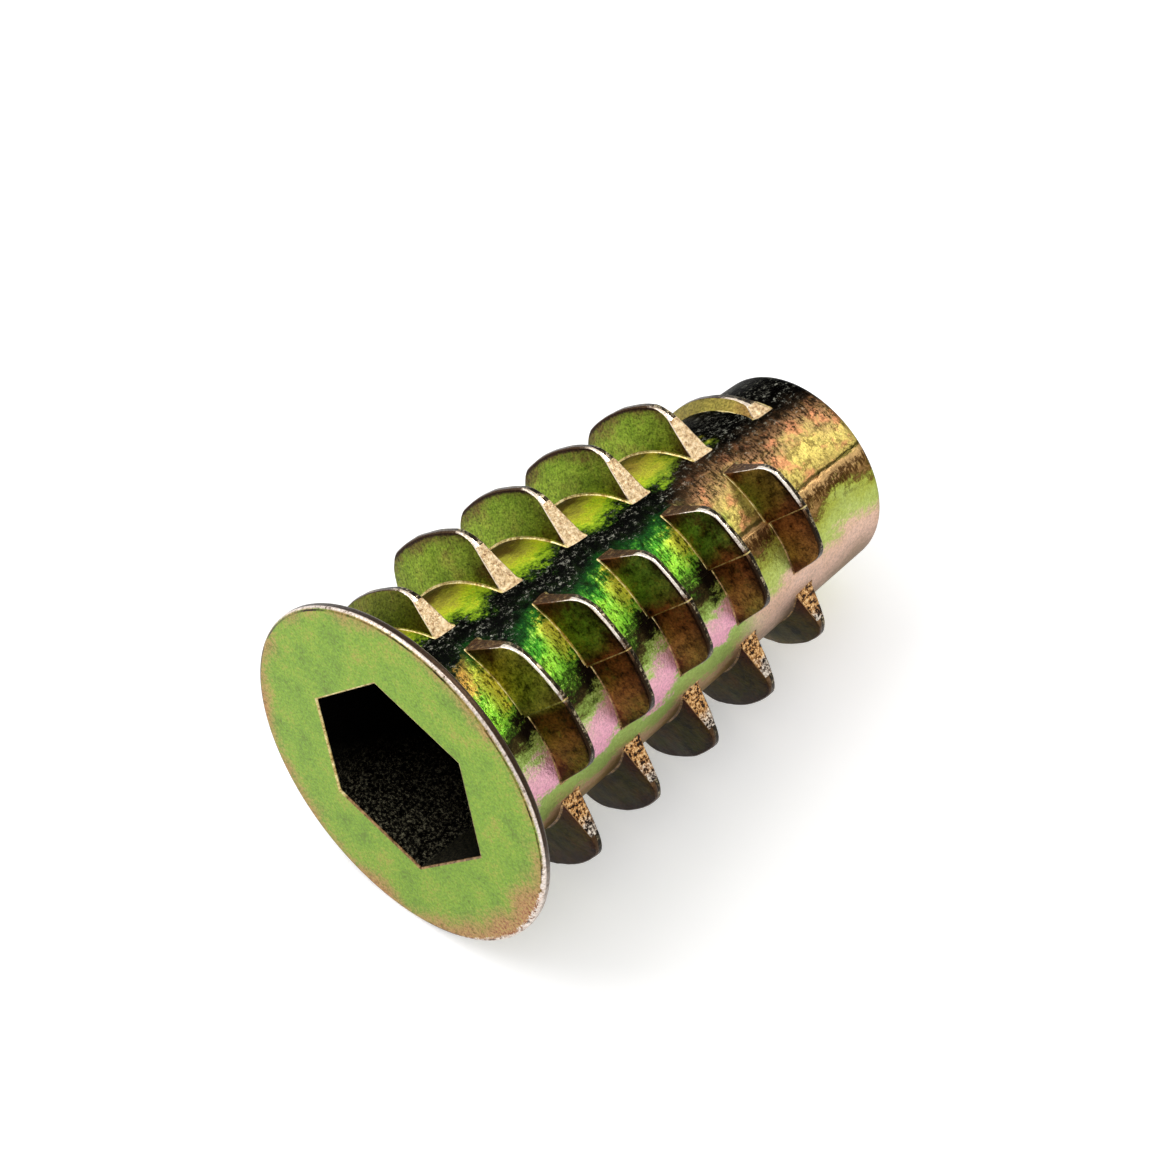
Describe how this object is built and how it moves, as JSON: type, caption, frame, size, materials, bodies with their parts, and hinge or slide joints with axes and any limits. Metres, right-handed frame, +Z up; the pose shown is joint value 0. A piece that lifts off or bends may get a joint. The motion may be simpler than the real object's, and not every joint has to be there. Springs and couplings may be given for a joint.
{
  "type": "threaded insert",
  "caption": "Flanged wood insert lying on its flange rim and fin corners: coarse interrupted thread outside, hexagon drive socket at the flange and a bolt thread inside.",
  "frame": {"origin": "centre of the bounding box's underside, on the floor that the insert lies on", "axes": "+X along the insert's length, from the flange to the tip; +Z up from the floor; +Y completes the frame"},
  "size_m": [0.026, 0.0156, 0.0155],
  "materials": {
    "plated_zinc": "yellow iridescent plating over a zinc die casting, satin, rough in the bare strips"
  },
  "bodies": {
    "root": {"insert_body": "plated_zinc"}
  },
  "joints": []
}
